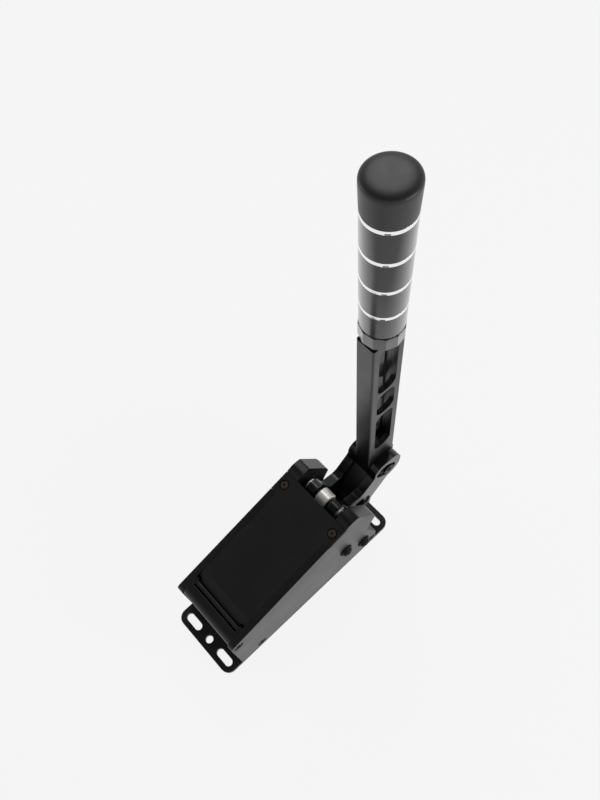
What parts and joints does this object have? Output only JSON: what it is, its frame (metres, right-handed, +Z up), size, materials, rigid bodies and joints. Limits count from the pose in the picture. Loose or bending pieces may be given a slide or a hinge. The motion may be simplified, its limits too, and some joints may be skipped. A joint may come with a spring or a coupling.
{
  "type": "sim racing handbrake",
  "caption": "Load-sensing lever handbrake for a driving simulator, with a slotted base, a sloped housing and a tall windowed lever with a round grip.",
  "frame": {"origin": "centre of the four mounting slots, on the underside of the base plate", "axes": "+X across the base, +Y along it towards the lever, +Z up; the lever is pulled towards -Y"},
  "size_m": [0.078, 0.228, 0.4329],
  "materials": {
    "plate_black": "smooth matte black powder coat",
    "anodised_black": "bead-blasted, matte black anodised",
    "cover_black": "fine matte black anodised",
    "cheek_black": "machined, satin black anodised",
    "bar_black": "machined, satin black anodised",
    "grip_satin": "turned, satin dark grey anodised",
    "cap_black": "turned, satin black anodised",
    "core_aluminium": "turned",
    "ring_bright": "polished",
    "screw_bronze": "bronze-coloured coating",
    "bolt_black": "black oxide",
    "steel_dark": "black oxide",
    "steel_bright": "bright, nickel plated",
    "bush_bronze": "sintered bronze",
    "urethane": "matte urethane",
    "board_green": "solder mask",
    "chip_black": "moulded epoxy"
  },
  "bodies": {
    "housing": {"base_plate": "plate_black", "side_plate_left": "anodised_black", "side_plate_right": "anodised_black", "end_plate": "anodised_black", "retaining_rod": "anodised_black", "reaction_block": "anodised_black", "tube_saddle": "anodised_black", "far_cross_bar": "anodised_black", "cover": "cover_black", "cover_screws": "screw_bronze", "side_screws": "bolt_black", "base_screws": "bolt_black", "stop_bolts": "bolt_black", "pivot_bolts": "bolt_black", "stop_bar": "steel_dark", "guide_tube": "steel_dark", "pivot_shaft": "steel_bright", "pivot_spacers": "steel_bright", "gland_ring": "steel_bright", "force_sensor": "steel_bright", "preload_screw": "steel_bright", "preload_nut": "steel_bright", "board_screws": "steel_bright", "data_port": "steel_bright", "stop_bumper": "urethane", "rebound_bumper": "urethane", "soft_elastomer": "urethane", "hard_elastomer": "urethane", "circuit_board": "board_green", "board_parts": "chip_black"},
    "rocker": {"cheek_left": "cheek_black", "cheek_right": "cheek_black", "pivot_bushes": "bush_bronze", "hub_sleeve": "steel_dark", "clevis_pin": "steel_bright", "pin_washers": "steel_bright", "pin_clips": "steel_bright", "pin_spacers": "steel_dark", "foot_bolt": "bolt_black", "foot_nut": "bolt_black"},
    "lever": {"lever_bar": "bar_black", "clamp_bolt": "bolt_black", "clamp_washers": "steel_dark", "clamp_nut": "bolt_black", "grip_stud": "steel_dark", "lock_collar": "grip_satin", "grip_core": "core_aluminium", "grip_sleeve_1": "grip_satin", "grip_sleeve_2": "grip_satin", "grip_sleeve_3": "grip_satin", "grip_sleeve_4": "grip_satin", "grip_ring_1": "ring_bright", "grip_ring_2": "ring_bright", "grip_ring_3": "ring_bright", "grip_ring_4": "ring_bright", "grip_cap": "cap_black"},
    "push_rod": {"rod_end": "steel_bright", "push_rod": "steel_bright", "lock_nut": "bolt_black"},
    "piston": {"piston": "steel_bright"}
  },
  "joints": [
    {"name": "lever_pull", "type": "hinge", "parent": "housing", "child": "rocker", "pos_m": [0, 0.0655, 0.026], "axis": [1, 0, 0], "range_deg": [0, 12], "stiffness_Nm_per_rad": 25, "springref_deg": -2.29},
    {"name": "lever_angle", "type": "hinge", "parent": "rocker", "child": "lever", "pos_m": [0, 0.079, 0.057], "axis": [1, 0, 0], "range_deg": [0, 12]},
    {"name": "rod_pivot", "type": "hinge", "parent": "rocker", "child": "push_rod", "pos_m": [0, 0.05399, 0.09403], "axis": [1, 0, 0], "range_deg": [-12, 0]},
    {"name": "piston_slide", "type": "slide", "parent": "housing", "child": "piston", "axis": [0, -0.9632, -0.2689], "range_m": [0, 0.01443], "deforming": ["soft_elastomer", "hard_elastomer"]}
  ],
  "couplings": [
    {"joint": "rod_pivot", "follows": "lever_pull", "ratio": -1},
    {"joint": "piston_slide", "follows": "lever_pull", "m_per_rad": 0.068874}
  ]
}
